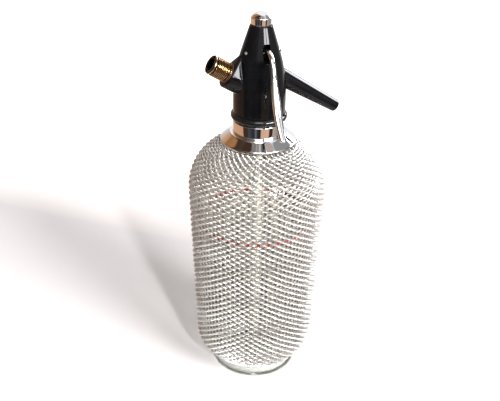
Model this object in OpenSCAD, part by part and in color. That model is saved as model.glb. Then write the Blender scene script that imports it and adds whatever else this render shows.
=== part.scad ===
// Soda siphon: a glass bottle in a sleeve of woven wire, closed by a screwed head
// with a charging nipple, a lever valve and a drooping spout.
// Millimetres. The origin is the centre of the foot, +Z up, the lever towards -Y,
// the spout towards +X and the charging nipple towards -X.

/* [Bottle] */
// Radius of the glass where the shoulder begins
glass_r = 50.3; // [46:0.1:54]
// Height of the tapered side, from the heel curve's centre to the shoulder's
side_h = 139; // [110:1:160]
// Radius of the shoulder's curve
shoulder_curve_r = 38; // [36:0.5:42]
// Narrowing of the radius from the shoulder down to the heel
body_taper = 6.9; // [4:0.1:9]
// Radius of the heel's curve
heel_curve_r = 17; // [14:0.5:19]
// Height of the heel curve's centre
heel_z = 33; // [28:0.5:40]
// Thickness of the glass wall
glass_wall = 4; // [3:0.1:5]
// Radius of the foot
foot_r = 36.4; // [34:0.1:38]
// Height of the foot's rim
foot_h = 8; // [6:0.5:10]
// Depth of the hollow under the foot
punt_depth = 10; // [4:0.5:12]
// Outer radius of the neck
neck_r = 14.2; // [13.8:0.1:14.4]
// Radius of the neck's bore
neck_bore_r = 11; // [10.5:0.1:11.3]
// Radius of the lip round the mouth
lip_r = 15.8; // [15.4:0.1:16]
// Thickness of the lip
lip_h = 4.5; // [3:0.1:6]
// Height of the fill line
fill_z = 142.5; // [100:0.5:165]
// Width of the fill line
fill_w = 1.4; // [0.6:0.1:3]

/* [Wire sleeve] */
// Depth of the sleeve, from the glass to its outside
sleeve_depth = 7.4; // [5.5:0.1:8]
// Number of wire spirals round the bottle, an even number
spirals = 24; // [12:2:28]
// Turns of each spiral, from the bottom ring to the top ring
spiral_turns = 10.5; // [6:0.5:14]
// Diameter of the sleeve's wire
wire_d = 1.8; // [1:0.1:2]
// Gap between two spirals where they hook into each other
hook_gap = 0.4; // [0.3:0.05:0.6]

/* [Neck fittings] */
// Radius of the skirt's upper edge
skirt_top_r = 24; // [22:0.1:26]
// Gap between the sleeve's end and the skirt's lower edge
skirt_gap = 0.4; // [0.3:0.1:1.5]
// Height of the skirt, up to its flat top, on which the collar stands
skirt_h = 8; // [7:0.1:11]
// Thickness of the skirt's metal
skirt_wall = 1.2; // [0.8:0.1:1.6]
// Outer radius of the collar
collar_r = 21.1; // [20:0.1:22.5]
// Height of the collar, up to the shoulder on which the base ring lies
collar_h = 10.14; // [8:0.01:11]
// Outer radius of the collar's threaded spigot
thread_r = 18.5; // [18.3:0.1:18.6]
// Height of the spigot
thread_h = 14.5; // [13:0.1:16]
// Height of the spigot's end above the bottle's mouth
thread_over = 1.5; // [1:0.1:1.7]
// Height of the step that carries the split ring, above the skirt
split_h = 4.5; // [2:0.1:6]
// Width of the saw cut between the two halves of the split ring
split_cut = 0.8; // [0.4:0.1:2]
// Outer radius of the base ring
base_ring_r = 22.8; // [22:0.1:24]
// Height of the base ring
base_ring_h = 6.4; // [5:0.1:7]

/* [Head] */
// Radius of the head at its foot
head_r = 21.1; // [20.6:0.1:22]
// Height of the straight side at the head's foot
head_side_h = 12; // [8:0.5:15]
// Lean of the cone into which the head's side curves
head_cone = 17.46; // [16.5:0.02:19.5]
// Height of the head's flat top above the pivot
crown_h = 20; // [18.5:0.1:24]
// Width of the head's rim round the cap
crown_rim = 0.55; // [0.3:0.05:1.5]
// Width of the lever's slot
slot_w = 6.2; // [5.8:0.1:7]
// Reach of the slot below the pivot
slot_below = 5.8; // [5:0.1:7]
// Reach of the slot above the pivot
slot_above = 8; // [7.6:0.1:9]
// Radius of the cap
cap_r = 8.3; // [7.8:0.1:8.8]
// Height of the cap's straight side
cap_side = 5.6; // [4:0.1:7]
// Height of the cap's dome
cap_dome = 3.8; // [2:0.1:5]
// Radius of the cap's threaded spigot
cap_thread_r = 6.7; // [6.2:0.1:6.8]
// Length of the cap's threaded spigot
cap_thread_l = 9.4; // [7:0.1:9.6]

/* [Charging nipple] */
// Height above the head's foot at which the nipple's axis meets the head's axis
inlet_h = 17.3; // [16:0.1:18.5]
// Rise of the nipple above the horizontal
inlet_rise = 32; // [30:0.5:34]
// Radius of the boss round the nipple
boss_r = 10.2; // [9.9:0.1:11]
// Distance by which the boss hangs below the nipple's axis
boss_drop = 1.5; // [1:0.1:2]
// Distance of the boss's end face from the head's axis
boss_end = 31.5; // [30:0.1:34]
// Radius of the nipple
nipple_r = 8; // [7.5:0.1:8.5]
// Length of the nipple outside the washer
nipple_l = 15.3; // [13:0.1:18]
// Radius of the nipple's threaded tail
nipple_tail_r = 6.4; // [5.8:0.1:6.6]
// Radius of the socket for the charger's neck
socket_r = 5; // [4.6:0.1:5.2]
// Depth of the socket, down to the piercing pin's disc
socket_depth = 10.4; // [9.6:0.1:11]
// Width of the key slot across the nipple's mouth
key_slot_w = 2.6; // [1.5:0.1:3.5]
// Depth of the key slot
key_slot_depth = 2.2; // [1:0.1:3]
// Height of the piercing pin's point above its disc
point_l = 4.6; // [3:0.1:5]

/* [Spout] */
// Height above the valve seat at which the spout's axis meets the head's axis
spout_h = 13.8; // [13:0.1:15.2]
// Droop of the spout below the horizontal
spout_droop = 32.25; // [31:0.25:34]
// Radius of the spout where it leaves the head
spout_root_r = 7.2; // [6.6:0.1:7.4]
// Radius of the spout at its tip
spout_tip_r = 5.1; // [4.6:0.1:5.6]
// Distance of the tip from the head's axis
spout_end = 78.7; // [70:0.1:90]
// Radius of the spout's bore
spout_bore_r = 2.8; // [2.2:0.1:3]
// Radius of the outlet at the tip
outlet_r = 3.3; // [3.1:0.1:3.6]
// Length of the outlet at the tip
outlet_l = 8; // [6:0.5:12]

/* [Valve] */
// Radius of the valve body
valve_r = 11.5; // [11.3:0.1:11.9]
// Radius of the valve chamber
chamber_r = 6; // [5.7:0.1:6.2]
// Height of the valve seat in the valve body
seat_h = 13.4; // [12.6:0.1:14.5]
// Height of the valve chamber above the seat
chamber_h = 9.5; // [8.8:0.1:11]
// Depth of the gland in the valve body
gland_depth = 4.5; // [4:0.1:6]
// Length of the gland nut
gland_nut_l = 5; // [4:0.1:6]
// Radius of the bore through the seat
seat_bore_r = 2.6; // [2:0.1:2.8]
// Radius of the plunger's stem
stem_r = 2.4; // [2:0.1:2.6]
// Radius of the plunger's yoke
yoke_r = 4.6; // [4.5:0.1:4.8]
// Radius of the washer that shuts the valve
washer_r = 4.3; // [4:0.1:4.4]
// Turns of the spring
spring_turns = 6; // [4:1:8]
// Outer radius of the spring
spring_r = 4.4; // [4.1:0.1:4.5]
// Diameter of the spring's wire
spring_d = 0.9; // [0.6:0.1:1.1]
// Outer radius of the dip tube
dip_r = 4; // [3.6:0.1:4.1]
// Inner radius of the dip tube
dip_bore_r = 2.6; // [2:0.1:2.8]
// Gap between the dip tube and the bottle's floor
dip_gap = 5; // [3:0.5:15]

/* [Lever] */
// Distance of the pivot from the head's axis
pivot_y = 5.7; // [5.6:0.1:5.9]
// Height of the pivot above the gland nut
pivot_h = 10.1; // [9.5:0.1:12]
// Radius of the pivot pin
pin_r = 1.25; // [1:0.05:1.3]
// Width of the lever at the slot
lever_root_w = 3.8; // [3.6:0.1:5.3]
// Width of the lever where it is widest, beside the head
lever_full_w = 6.8; // [6:0.1:8]
// Width of the lever at its tip
lever_tip_w = 5.6; // [5:0.1:7]
// Thickness of the lever
lever_t = 3.6; // [3:0.1:4.4]

/* [Fits] */
// Running clearance of the lever on its pin, on the radius
pin_fit = 0.05; // [0.02:0.01:0.1]
// Clearance between pieces that are fixed together
set_fit = 0.1; // [0.05:0.01:0.15]
// Clearance between pieces that move apart
move_fit = 0.3; // [0.2:0.05:0.35]

/* [Hidden] */
$fn = 96;
beyond = 60;             // how far a through cut runs past the solid

// bottle profile
shoulder_z = heel_z + side_h;
taper_angle = atan(body_taper / side_h);
shoulder_c = [glass_r - shoulder_curve_r, shoulder_z];
heel_c = [shoulder_c[0] + (shoulder_curve_r - heel_curve_r) / cos(taper_angle) - body_taper, heel_z];
heel_end = -62;          // direction in which the heel's curve runs out into the foot
foot_edge = 3;
punt_r = foot_r - 6.9;
waist_r = foot_r - 1.8;
neck_fillet_r = 8;
// centre of the curve that leads from the shoulder into the neck
neck_c_x = neck_r + neck_fillet_r;
neck_c_z = shoulder_z + sqrt(pow(shoulder_curve_r + neck_fillet_r, 2)
                             - pow(neck_c_x - shoulder_c[0], 2));
neck_angle = atan2(neck_c_z - shoulder_z, neck_c_x - shoulder_c[0]);
floor_z = heel_z - heel_curve_r + glass_wall;
// radius of the glass at a height on its tapered side
function glass_at(z) = shoulder_c[0] + shoulder_curve_r * cos(taper_angle)
    - (shoulder_z - shoulder_curve_r * sin(taper_angle) - z) * tan(taper_angle);

// where the sleeve ends under the skirt
top_angle = 66;
sleeve_end = shoulder_c + (shoulder_curve_r + sleeve_depth) * [cos(top_angle), sin(top_angle)];

// neck fittings, stacked upwards from the sleeve's end
skirt_r = sleeve_end[0];
skirt_low_z = sleeve_end[1] + skirt_gap;
skirt_top_z = skirt_low_z + skirt_h;
collar_top_z = skirt_top_z + collar_h;
thread_top_z = collar_top_z + thread_h;
split_z = skirt_top_z + split_h;
mouth_z = thread_top_z - thread_over;
lip_low_z = mouth_z - lip_h;
collar_bore_r = lip_r + 0.4;
split_r = thread_r - 1.5;
ring_low_z = collar_top_z + move_fit;
ring_top_z = ring_low_z + base_ring_h;
thread_bore_r = thread_r + move_fit;
gasket_low_z = mouth_z + move_fit;
gasket_h = 2;
flange_low_z = gasket_low_z + gasket_h;
flange_h = 2;
flange_top_z = flange_low_z + flange_h;
flange_r = lip_r - 0.5;
hub_r = dip_r + 2.2;
hub_h = 4.6;
hub_drop = 6;
gas_hole_r = 1;
gas_hole_at = 8.7;
dip_low_z = floor_z + dip_gap;
head_low_z = ring_top_z + move_fit;
inlet_z = head_low_z + inlet_h;

// valve body
valve_low_z = flange_top_z + move_fit;
valve_flange_r = thread_bore_r - set_fit;
valve_flange_h = 3.4;
seat_z = valve_low_z + seat_h;
gland_low_z = seat_z + chamber_h;
valve_top_z = gland_low_z + gland_depth;
spout_z = seat_z + spout_h;
hub_top_z = flange_top_z + hub_h;
tube_seal_h = 1.2;
tube_seal_low_z = hub_top_z + move_fit;
hub_socket_r = hub_r + move_fit;
hub_socket_top_z = tube_seal_low_z + tube_seal_h + set_fit;
chamber_low_z = seat_z - 2;
seat_rim = 1.1;
gland_r = chamber_r + 1;
stem_seal_h = 1.8;
gland_nut_low_z = gland_low_z + set_fit + stem_seal_h + set_fit;
gland_top_z = gland_nut_low_z + gland_nut_l;
gas_way_r = 1.2;
gas_way_top_z = inlet_z + gas_hole_at * tan(inlet_rise);
outlet_port_z = seat_z + 5;
outlet_port_r = 2;

// lever's pivot and slot
pivot_z = gland_top_z + pivot_h;
slot_low_z = pivot_z - slot_below;
slot_high_z = pivot_z + slot_above;
head_top_z = pivot_z + crown_h;

// plunger
washer_h = 2.6;
washer_low_z = seat_z + move_fit;
cup_low_z = washer_low_z + 0.6;
cup_wall = 0.5;
cup_h = 3.2;
pin_room = 4.7;          // half the height of the flat in front of the yoke
yoke_low_z = pivot_z - 5.6;
yoke_top_z = pivot_z + 7.2;
yoke_bore_r = yoke_r + move_fit;
spring_guide_r = 2.6;
spring_guide_h = 6;
lever_nose_r = 2.2;
lever_hub_r = 3;
lever_neck_t = 3;
press_lift = pivot_y * PI * 12 / 180;   // rise of the plunger at the lever's full stroke

// cap
cap_gasket_h = 0.8;
cap_low_z = head_top_z + set_fit + cap_gasket_h + set_fit;
cap_bore_low_z = cap_low_z - cap_thread_l - move_fit;
spring_pocket_r = spring_r + 0.5;
spring_low_z = yoke_top_z + set_fit;
spring_top_z = cap_low_z + 0.4;

// inlet, measured along the nipple's axis from the head's axis
boss_root = 17;
web_r = 2;
web_top = [-14.2, 0, pivot_z - 3.6];
washer_t = 0.8;
nipple_foot = boss_end + set_fit + washer_t + set_fit;
mouth_s = nipple_foot + nipple_l;
socket_s = mouth_s - socket_depth;
tail_s = 21.5;
sleeve_end_s = 17.8;
sleeve_seat_r = 3;
sleeve_wall = 0.9;
sleeve_room_r = sleeve_seat_r + sleeve_wall + 0.6;
pin_disc_h = 1.2;
gasket_s = socket_s + pin_disc_h + set_fit;
inlet_gasket_h = 2;

// spout, measured along its axis from the head's axis
spout_tail_r = 4.4;
spout_port_s = valve_r + 0.3;
spout_tail_s = spout_port_s + 1.2;
spout_wall_s = head_r / cos(spout_droop);       // where it leaves the head and starts to taper
spout_foot_s = spout_wall_s - 6;

// ---- shared helpers ----

// points of an arc about c, from angle a0 to a1
function arc(c, r, a0, a1, n) =
    [for (i = [0:n]) let (a = a0 + (a1 - a0) * i / n) [c[0] + r * cos(a), c[1] + r * sin(a)]];

// a ring with a flat top and bottom
module ring(r_in, r_out, h) {
    difference() {
        cylinder(r = r_out, h = h);
        translate([0, 0, -1]) cylinder(r = r_in, h = h + 2);
    }
}

// places its children on the nipple's axis, with +Z pointing out of the head
module on_inlet(s = 0) {
    translate([0, 0, inlet_z]) rotate([0, inlet_rise - 90, 0]) translate([0, 0, s]) children();
}

// places its children on the spout's axis, with +Z pointing out of the head
module on_spout(s = 0) {
    translate([0, 0, spout_z]) rotate([0, 90 + spout_droop, 0]) translate([0, 0, s]) children();
}

// places its children on the lever's pivot, with +Z along the pin
module on_pivot() {
    translate([0, -pivot_y, pivot_z]) rotate([0, 90, 0]) children();
}

function unit(v) = v / norm(v);

// frame of a path's corner: the direction towards the inside of the bend,
// stretched so that the wire keeps its thickness, and the direction square to the bend
function corner(p, i) =
    let (j = min(max(i, 1), len(p) - 2),
         t1 = unit(p[j] - p[j - 1]), t2 = unit(p[j + 1] - p[j]),
         t = unit(t1 + t2), n = unit(t2 - t1))
    [n / (t * t1), cross(t, n)];

// a wire of radius r along a path that always bends the same way
module wire(path, r, sides) {
    rings = len(path);
    points = [for (i = [0:rings - 1]) let (f = corner(path, i))
                  for (k = [0:sides - 1]) let (a = 360 * (k + 0.5) / sides)
                      path[i] + r * (f[0] * cos(a) + f[1] * sin(a))];
    faces = concat(
        [[for (k = [0:sides - 1]) sides - 1 - k]],
        [for (i = [0:rings - 2]) for (k = [0:sides - 1])
             let (a = i * sides + k, b = i * sides + (k + 1) % sides)
                 [a, b, b + sides]],
        [for (i = [0:rings - 2]) for (k = [0:sides - 1])
             let (a = i * sides + k, b = i * sides + (k + 1) % sides)
                 [a, b + sides, a + sides]],
        [[for (k = [0:sides - 1]) (rings - 1) * sides + k]]);
    polyhedron(points, faces, convexity = 10);
}

// ---- bottle ----

// the glass's outline, a distance off its outer surface, from the heel to the neck's curve
function glass_side(off, n) = concat(
    arc(heel_c, heel_curve_r + off, heel_end, -taper_angle, n),
    arc(shoulder_c, shoulder_curve_r + off, -taper_angle, neck_angle, n));

module glass_bottle() {
    // the hollow under the foot is a part of a sphere
    punt_curve = (punt_r * punt_r + punt_depth * punt_depth) / (2 * punt_depth);
    color([0.82, 0.9, 0.88, 0.45]) rotate_extrude() difference() {
        polygon(concat(
            arc([0, punt_depth - punt_curve], punt_curve, 90, 90 - asin(punt_r / punt_curve), 8),
            arc([foot_r - foot_edge, foot_edge], foot_edge, -90, 0, 6),
            [[foot_r, foot_h - 2], [foot_r - 0.6, foot_h - 0.6], [waist_r, foot_h + 2],
             [waist_r, foot_h + 4.5]],
            glass_side(0, 14),
            arc([neck_c_x, neck_c_z], neck_fillet_r, neck_angle + 180 - 4, 184, 5),
            [[neck_r, neck_c_z], [neck_r, lip_low_z - 0.4], [lip_r - 0.5, lip_low_z],
             [lip_r, lip_low_z + 0.5], [lip_r, mouth_z - 1], [lip_r - 1, mouth_z], [0, mouth_z]]));
        polygon(concat(
            [[0, floor_z]],
            arc(heel_c, heel_curve_r - glass_wall, -90, -taper_angle, 10),
            arc(shoulder_c, shoulder_curve_r - glass_wall, -taper_angle, 78, 12),
            [[neck_bore_r, neck_c_z], [neck_bore_r, mouth_z + 1], [0, mouth_z + 1]]));
    }
}

// a fine band printed on the glass, following its taper
module fill_line() {
    skin = [0.02, 0.17];
    z0 = fill_z - fill_w / 2;
    z1 = fill_z + fill_w / 2;
    color([0.72, 0.2, 0.15]) rotate_extrude() polygon([
        [glass_at(z0) + skin[0], z0], [glass_at(z0) + skin[1], z0],
        [glass_at(z1) + skin[1], z1], [glass_at(z1) + skin[0], z1]]);
}

// ---- wire sleeve ----

sleeve_gap = move_fit;                          // gap between the glass and the wires
mid_off = (sleeve_gap + sleeve_depth) / 2;      // middle of the sleeve above the glass
swing = (sleeve_depth - sleeve_gap - wire_d) / 2;
heel_len = (heel_curve_r + mid_off) * (-taper_angle - heel_end) * PI / 180;
side_from = heel_c + (heel_curve_r + mid_off) * [cos(taper_angle), -sin(taper_angle)];
side_to = shoulder_c + (shoulder_curve_r + mid_off) * [cos(taper_angle), -sin(taper_angle)];
side_len = norm(side_to - side_from);
top_len = (shoulder_curve_r + mid_off) * (top_angle + taper_angle) * PI / 180;
sleeve_len = heel_len + side_len + top_len;

// the sleeve's middle line at a length s above its lower end: [radius, height, slope]
function sleeve_at(s) =
    s < heel_len ?
        let (a = heel_end + s / (heel_curve_r + mid_off) * 180 / PI, q = heel_curve_r + mid_off)
        [heel_c[0] + q * cos(a), heel_c[1] + q * sin(a), a] :
    s < heel_len + side_len ?
        let (q = (s - heel_len) / side_len, m = side_from + (side_to - side_from) * q)
        [m[0], m[1], -taper_angle] :
        let (q = shoulder_curve_r + mid_off,
             a = -taper_angle + (s - heel_len - side_len) / q * 180 / PI)
        [shoulder_c[0] + q * cos(a), shoulder_c[1] + q * sin(a), a];

// a point of the sleeve: length up the side, distance out from its middle, angle round it
function sleeve_point(s, out, a) =
    let (m = sleeve_at(s), r = m[0] + out * cos(m[2]))
    [r * cos(a), r * sin(a), m[1] + out * sin(m[2])];

// Each wire is a flattened spiral with four corners a turn. Neighbours are half a turn
// apart, so that every bend hooks round a bend of the next spiral. Both ends of a wire
// are legs, which lie over or under the ring that gathers the sleeve.
quarters = 4 * spiral_turns + 1;                // lengths between the corners of one wire
quarter_len = sleeve_len / quarters;
module spiral(k) {
    path = [for (i = [0:quarters])
        let (s = i * quarter_len,
             reach = 180 / spirals + (wire_d + hook_gap) / 2 / sleeve_at(s)[0] * 180 / PI,
             q = (i + (k % 2 == 0 ? 3 : 1)) % 4)
        sleeve_point(s, (q == 0 || q == 3) ? swing : -swing,
                     k * 360 / spirals + (q < 2 ? reach : -reach))];
    wire(path, wire_d / 2, 4);
}

module wire_mesh() {
    color([0.78, 0.77, 0.75]) for (k = [0:spirals - 1]) spiral(k);
}

// a ring of wire threaded through all the spirals, between their end legs
module draw_ring(s) {
    m = sleeve_at(s);
    color([0.7, 0.69, 0.68]) rotate_extrude() translate([m[0], m[1]]) circle(d = wire_d, $fn = 24);
}

module mesh_bottom_ring() { draw_ring(quarter_len / 2); }
module mesh_top_ring() { draw_ring(sleeve_len - quarter_len / 2); }

// ---- neck fittings ----

module neck_skirt() {
    hem = 1;
    color([0.86, 0.86, 0.87]) rotate_extrude() polygon([
        [collar_bore_r, skirt_top_z - skirt_wall], [skirt_top_r - 0.7, skirt_top_z - skirt_wall],
        [skirt_r - skirt_wall - 0.3, skirt_low_z + hem], [skirt_r - skirt_wall, skirt_low_z],
        [skirt_r - 0.2, skirt_low_z], [skirt_r, skirt_low_z + hem * 0.6],
        [skirt_top_r, skirt_top_z - 0.8], [skirt_top_r - 0.3, skirt_top_z - 0.2],
        [skirt_top_r - 0.9, skirt_top_z], [collar_bore_r, skirt_top_z]]);
}

// two half rings laid round the neck, under the lip and on the collar's step
module neck_split_ring() {
    color([0.9, 0.88, 0.8]) difference() {
        translate([0, 0, split_z + set_fit])
            ring(neck_r + set_fit, split_r - set_fit, lip_low_z - 0.4 - split_z - 2 * set_fit);
        translate([-split_cut / 2, -beyond, 0]) cube([split_cut, 2 * beyond, 2 * mouth_z]);
    }
}

// chrome collar, lifted over the split ring, with a plain spigot where its thread is cut
module neck_collar() {
    edge = 0.6;
    color([0.86, 0.86, 0.87]) rotate_extrude() polygon([
        [collar_bore_r, skirt_top_z], [collar_r - edge, skirt_top_z],
        [collar_r, skirt_top_z + edge], [collar_r, collar_top_z - edge],
        [collar_r - edge, collar_top_z], [thread_r, collar_top_z],
        [thread_r, thread_top_z - edge], [thread_r - edge, thread_top_z],
        [split_r, thread_top_z], [split_r, split_z], [collar_bore_r, split_z]]);
}

// black ring under the head, round outside and flat inside
module head_base_ring() {
    half = base_ring_h / 2;
    color([0.06, 0.07, 0.06]) rotate_extrude() intersection() {
        translate([base_ring_r - half, ring_low_z + half]) circle(r = half, $fn = 64);
        translate([thread_bore_r, ring_low_z]) square([beyond, base_ring_h]);
    }
}

// ---- dip tube ----

module bottle_gasket() {
    color([0.12, 0.12, 0.12]) translate([0, 0, gasket_low_z]) ring(neck_bore_r, flange_r, gasket_h);
}

module dip_tube() {
    color([0.9, 0.84, 0.72]) difference() {
        translate([0, 0, dip_low_z]) ring(dip_bore_r, dip_r, hub_top_z - dip_low_z);
        // bevelled mouth, so that the tube draws from the bottle's floor
        translate([0, 0, dip_low_z]) rotate([0, 35, 0]) translate([-beyond, -beyond, -beyond])
            cube([2 * beyond, 2 * beyond, beyond]);
    }
}

// flange that lies on the bottle's mouth and carries the tube, drilled for the gas
module dip_tube_flange() {
    color([0.92, 0.9, 0.84]) difference() {
        union() {
            translate([0, 0, flange_low_z]) cylinder(r = flange_r, h = flange_h);
            translate([0, 0, flange_low_z - hub_drop])
                cylinder(r = hub_r, h = hub_drop + flange_h + hub_h);
        }
        translate([0, 0, flange_low_z - hub_drop - 1]) cylinder(r = dip_r + set_fit, h = beyond);
        for (a = [0:90:270]) rotate([0, 0, a])
            translate([gas_hole_at, 0, flange_low_z - 1]) cylinder(r = gas_hole_r, h = flange_h + 2);
    }
}

// ---- head ----

// outline of the head: a straight foot, a long curve, and a cone that runs on from the
// curve to the rim round the cap
bow_z = head_low_z + head_side_h;
cone_top_r = cap_r + crown_rim;
// radius with which the curve meets the cone without a corner
bow_r = ((head_top_z - bow_z) * tan(head_cone) - head_r + cone_top_r) / (1 / cos(head_cone) - 1);
cone_from = [head_r - bow_r * (1 - cos(head_cone)), bow_z + bow_r * sin(head_cone)];
function head_outline() = concat(
    [[0, head_low_z], [head_r - 0.6, head_low_z], [head_r, head_low_z + 0.6]],
    arc([head_r - bow_r, bow_z], bow_r, 0, head_cone, 8),
    [[cone_top_r + 0.9 * tan(head_cone), head_top_z - 0.9], [cone_top_r - 0.5, head_top_z],
     [0, head_top_z]]);

// boss round the nipple: it hangs a little below the nipple's axis, and a web runs
// from it up the side of the head
module inlet_boss() {
    edge = 1;
    hull() {
        on_inlet(boss_end - edge) translate([-boss_drop, 0, 0])
            cylinder(r1 = boss_r, r2 = boss_r - edge, h = edge, $fn = 40);
        on_inlet(boss_root) translate([-boss_drop, 0, 0]) cylinder(r = boss_r, h = 1, $fn = 40);
        translate(web_top) sphere(r = web_r, $fn = 16);
    }
}

module head_shell() {
    color([0.05, 0.05, 0.06]) difference() {
        union() {
            rotate_extrude() polygon(head_outline());
            inlet_boss();
        }
        // thread for the collar, and the seats of the valve body and the gland
        translate([0, 0, head_low_z - 1])
            cylinder(r = thread_bore_r, h = valve_low_z + valve_flange_h + set_fit - head_low_z + 1);
        translate([0, 0, head_low_z]) cylinder(r = valve_r + set_fit, h = valve_top_z + set_fit - head_low_z);
        translate([0, 0, head_low_z]) cylinder(r = gland_r + 0.2, h = gland_top_z + set_fit - head_low_z);
        // bore of the plunger, and the cap's thread above it
        translate([0, 0, head_low_z]) cylinder(r = yoke_bore_r, h = beyond + head_top_z - head_low_z);
        translate([0, 0, cap_bore_low_z]) cylinder(r = cap_thread_r + set_fit, h = beyond);
        // slot and pin hole of the lever
        translate([-slot_w / 2, -beyond, slot_low_z])
            cube([slot_w, beyond, slot_high_z - slot_low_z]);
        on_pivot() cylinder(r = pin_r + 0.02, h = 2 * beyond, center = true, $fn = 48);
        // charging nipple, the room round its sleeve, and the way down to the valve body
        on_inlet(tail_s - set_fit) cylinder(r = nipple_tail_r + set_fit, h = beyond);
        on_inlet(sleeve_end_s - 0.6) cylinder(r = sleeve_room_r, h = tail_s - sleeve_end_s + 0.6);
        on_inlet(0) cylinder(r = gas_way_r + 0.1, h = sleeve_end_s);
        // spout and its tail
        on_spout(spout_foot_s - set_fit) cylinder(r = spout_root_r + set_fit, h = beyond);
        on_spout(0) cylinder(r = spout_tail_r + set_fit, h = spout_foot_s);
    }
}

module valve_body() {
    groove_h = 1.2;
    groove_w = 1.8;
    color([0.78, 0.62, 0.32]) difference() {
        union() {
            translate([0, 0, valve_low_z]) cylinder(r = valve_flange_r, h = valve_flange_h);
            translate([0, 0, valve_low_z]) cylinder(r = valve_r, h = valve_top_z - valve_low_z);
        }
        // socket of the dip tube's hub, bore to the seat, chamber and gland
        translate([0, 0, valve_low_z - 1])
            cylinder(r = hub_socket_r, h = hub_socket_top_z - valve_low_z + 1);
        translate([0, 0, valve_low_z]) cylinder(r = seat_bore_r, h = valve_top_z - valve_low_z + 1);
        translate([0, 0, chamber_low_z]) difference() {
            cylinder(r = chamber_r, h = beyond);
            translate([0, 0, -1]) cylinder(r = seat_bore_r + seat_rim, h = seat_z - chamber_low_z + 1);
        }
        translate([0, 0, gland_low_z]) cylinder(r = gland_r, h = beyond);
        // gas: a slanted way in, a way down, and a groove over the flange's holes
        on_inlet(gas_hole_at / cos(inlet_rise)) cylinder(r = gas_way_r - 0.15, h = beyond);
        translate([-gas_hole_at, 0, valve_low_z - 1])
            cylinder(r = gas_way_r, h = gas_way_top_z - valve_low_z + 1);
        translate([0, 0, valve_low_z - 1])
            ring(gas_hole_at - groove_w / 2, gas_hole_at + groove_w / 2, groove_h + 1);
        // soda: from the chamber to the spout's port
        translate([0, 0, outlet_port_z]) rotate([0, 90, 0])
            cylinder(r = outlet_port_r, h = valve_r - 1);
        on_spout(spout_port_s) cylinder(r = spout_tail_r + set_fit, h = beyond);
    }
}

module dip_tube_seal() {
    color([0.12, 0.12, 0.12]) translate([0, 0, tube_seal_low_z])
        ring(dip_bore_r + 0.2, hub_socket_r - set_fit, tube_seal_h);
}

module spout_tube() {
    nose = 1.2;
    taper = (spout_root_r - spout_tip_r) / (spout_end - spout_wall_s);
    color([0.05, 0.05, 0.06]) on_spout() rotate_extrude() polygon(concat(
        [[spout_bore_r, spout_tail_s], [spout_tail_r, spout_tail_s],
         [spout_tail_r, spout_foot_s], [spout_root_r, spout_foot_s],
         [spout_root_r, spout_wall_s], [spout_tip_r + nose * taper, spout_end - nose]],
        arc([spout_tip_r - nose, spout_end - nose], nose, 20, 90, 4),
        [[outlet_r, spout_end], [outlet_r, spout_end - outlet_l],
         [spout_bore_r, spout_end - outlet_l]]));
}

module spout_seal() {
    color([0.12, 0.12, 0.12]) on_spout(spout_port_s + set_fit)
        ring(spout_bore_r + 0.1, spout_tail_r, spout_tail_s - spout_port_s - 2 * set_fit);
}

// ---- charging nipple ----

module gas_nipple() {
    edge = 0.7;
    cross_hole_r = 0.8;
    color([0.8, 0.62, 0.3]) on_inlet() difference() {
        rotate_extrude() polygon([
            [0, sleeve_end_s], [sleeve_seat_r, sleeve_end_s], [sleeve_seat_r, tail_s],
            [nipple_tail_r, tail_s], [nipple_tail_r, nipple_foot], [nipple_r, nipple_foot],
            [nipple_r, mouth_s - edge], [nipple_r - edge, mouth_s], [0, mouth_s]]);
        // socket of the charger's neck, then the way in, which ends in a cross hole
        translate([0, 0, socket_s]) cylinder(r = socket_r, h = beyond);
        translate([0, 0, sleeve_end_s + 1.2]) cylinder(r = gas_way_r, h = beyond);
        translate([0, 0, sleeve_end_s + 2]) rotate([0, 90, 0])
            cylinder(r = cross_hole_r, h = 2 * nipple_r, center = true);
        // key slot across the mouth
        translate([-beyond, -key_slot_w / 2, mouth_s - key_slot_depth])
            cube([2 * beyond, key_slot_w, beyond]);
    }
}

module nipple_washer() {
    color([0.35, 0.16, 0.1]) on_inlet(boss_end + set_fit)
        ring(nipple_tail_r + 0.2, nipple_r + 0.7, washer_t);
}

// steel disc with gas holes and a point that opens the charger
module piercing_pin() {
    holes = 3;
    shank_r = 1;
    color([0.72, 0.72, 0.74]) on_inlet(socket_s) difference() {
        union() {
            cylinder(r = socket_r - set_fit, h = pin_disc_h);
            cylinder(r = shank_r, h = pin_disc_h + point_l / 2);
            translate([0, 0, pin_disc_h + point_l / 2])
                cylinder(r1 = shank_r, r2 = 0.1, h = point_l / 2);
        }
        for (i = [0:holes - 1]) rotate([0, 0, i * 360 / holes + 45])
            translate([socket_r * 0.4, 0, -1]) cylinder(r = 0.5, h = pin_disc_h + 2);
    }
}

module inlet_gasket() {
    color([0.12, 0.12, 0.12]) on_inlet(gasket_s) ring(1.6, socket_r - set_fit, inlet_gasket_h);
}

// rubber sleeve over the cross hole, which lets the gas in and not back
module check_valve_sleeve() {
    color([0.5, 0.2, 0.15]) on_inlet(sleeve_end_s + 0.3)
        ring(sleeve_seat_r + 0.05, sleeve_seat_r + sleeve_wall, tail_s - sleeve_end_s - 0.5);
}

// ---- valve ----

module stem_seal() {
    color([0.12, 0.12, 0.12]) translate([0, 0, gland_low_z + set_fit])
        ring(stem_r + pin_fit, gland_r - set_fit, stem_seal_h);
}

module gland_nut() {
    color([0.78, 0.62, 0.32]) difference() {
        translate([0, 0, gland_nut_low_z]) ring(stem_r + move_fit, gland_r - set_fit, gland_nut_l);
        // two holes for a pin spanner
        for (x = [-1, 1]) translate([0, x * 4.6, gland_top_z - 2]) cylinder(r = 0.8, h = 3);
    }
}

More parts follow.
